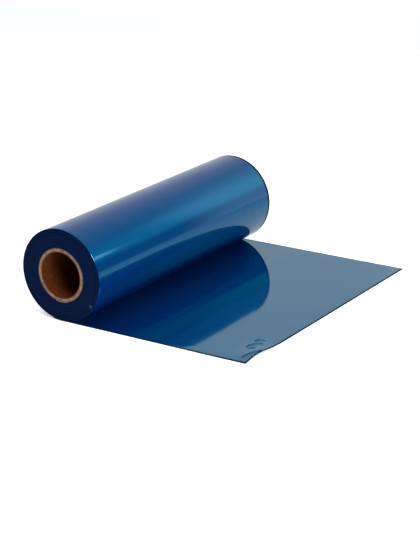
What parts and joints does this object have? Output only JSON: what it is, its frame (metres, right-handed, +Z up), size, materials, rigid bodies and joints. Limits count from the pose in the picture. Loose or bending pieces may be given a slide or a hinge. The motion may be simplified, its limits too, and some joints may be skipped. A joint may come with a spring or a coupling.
{
  "type": "roll of sign vinyl",
  "caption": "Roll of glossy metallic blue sign vinyl wound on an open paperboard core, lying on its side with the last of the web laid out flat in front of it.",
  "frame": {"origin": "on the surface the roll lies on, under the middle of the roll, in the line where the web leaves it", "axes": "+X along the laid-out web, away from the roll; +Y along the roll's axis; +Z up"},
  "size_m": [0.4238, 0.508, 0.1539],
  "materials": {
    "film": "metallic blue gloss vinyl",
    "adhesive": "clear pressure-sensitive adhesive, blue from the film under it",
    "liner": "clear mirror-gloss release film, blue from the vinyl under it",
    "kraft": "brown kraft paperboard",
    "greyboard": "pale recycled paperboard",
    "tape": "double-sided tape"
  },
  "bodies": {
    "laid_web": {"tail_film": "film", "tail_adhesive": "adhesive", "tail_liner": "liner"},
    "nip": {"nip_film": "film", "nip_adhesive": "adhesive", "nip_liner": "liner"},
    "roll": {"core_ply_1": "kraft", "core_ply_2": "greyboard", "core_ply_3": "greyboard", "core_ply_4": "greyboard", "core_ply_5": "greyboard", "core_ply_6": "greyboard", "core_ply_7": "kraft", "start_tape": "tape", "first_turn_film": "film", "first_turn_adhesive": "adhesive", "first_turn_liner": "liner", "wound_turns": "film", "last_turn_film": "film", "last_turn_adhesive": "adhesive", "last_turn_liner": "liner"}
  },
  "joints": [
    {"name": "roll_travel", "type": "slide", "parent": "laid_web", "child": "nip", "axis": [1, 0, 0], "range_m": [0, 0.3], "deforming": ["tail_film", "tail_adhesive", "tail_liner"]},
    {"name": "roll_turn", "type": "hinge", "parent": "nip", "child": "roll", "pos_m": [0, 0, 0.07715], "axis": [0, 1, 0], "range_deg": [0, 225]}
  ],
  "couplings": [
    {"joint": "roll_turn", "follows": "roll_travel", "rad_per_m": 12.985}
  ]
}
